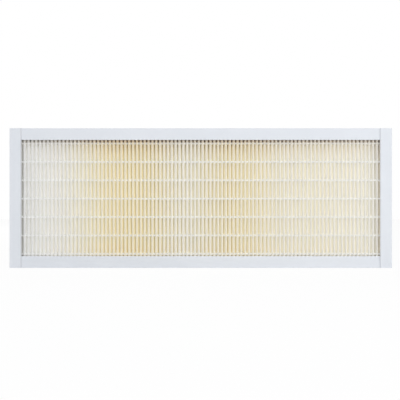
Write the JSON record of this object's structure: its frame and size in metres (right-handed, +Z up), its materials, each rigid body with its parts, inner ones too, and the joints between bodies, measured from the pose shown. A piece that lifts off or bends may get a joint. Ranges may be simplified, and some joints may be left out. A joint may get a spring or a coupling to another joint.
{
  "type": "pleated panel air filter",
  "caption": "Flat rectangular air filter: a white channel frame around a deep pack of narrow upright pleats, held apart by thin cross beads.",
  "frame": {"origin": "middle of the underside, where the filter stands on its long edge", "axes": "+X along the width to the right as seen from the front, +Y through the depth from front to back, +Z up along the pleats"},
  "size_m": [0.52, 0.048, 0.19],
  "materials": {
    "frame_plastic": "satin extruded plastic, cool white",
    "medium": "matt fibrous filter medium, warm off-white",
    "hot_melt": "set hot-melt adhesive, milky off-white with a slight sheen",
    "adhesive": "cast sealing adhesive, off-white"
  },
  "bodies": {
    "root": {"stile_left": "frame_plastic", "stile_right": "frame_plastic", "rail_bottom": "frame_plastic", "rail_top": "frame_plastic", "potting_bottom": "adhesive", "potting_top": "adhesive", "side_seal_left": "adhesive", "side_seal_right": "adhesive", "media_pack": "medium", "front_bead_1": "hot_melt", "rear_bead_1": "hot_melt", "front_bead_2": "hot_melt", "rear_bead_2": "hot_melt", "front_bead_3": "hot_melt", "rear_bead_3": "hot_melt", "front_bead_4": "hot_melt", "rear_bead_4": "hot_melt", "front_bead_5": "hot_melt", "rear_bead_5": "hot_melt", "front_bead_6": "hot_melt", "rear_bead_6": "hot_melt", "front_bead_7": "hot_melt", "rear_bead_7": "hot_melt"}
  },
  "joints": []
}
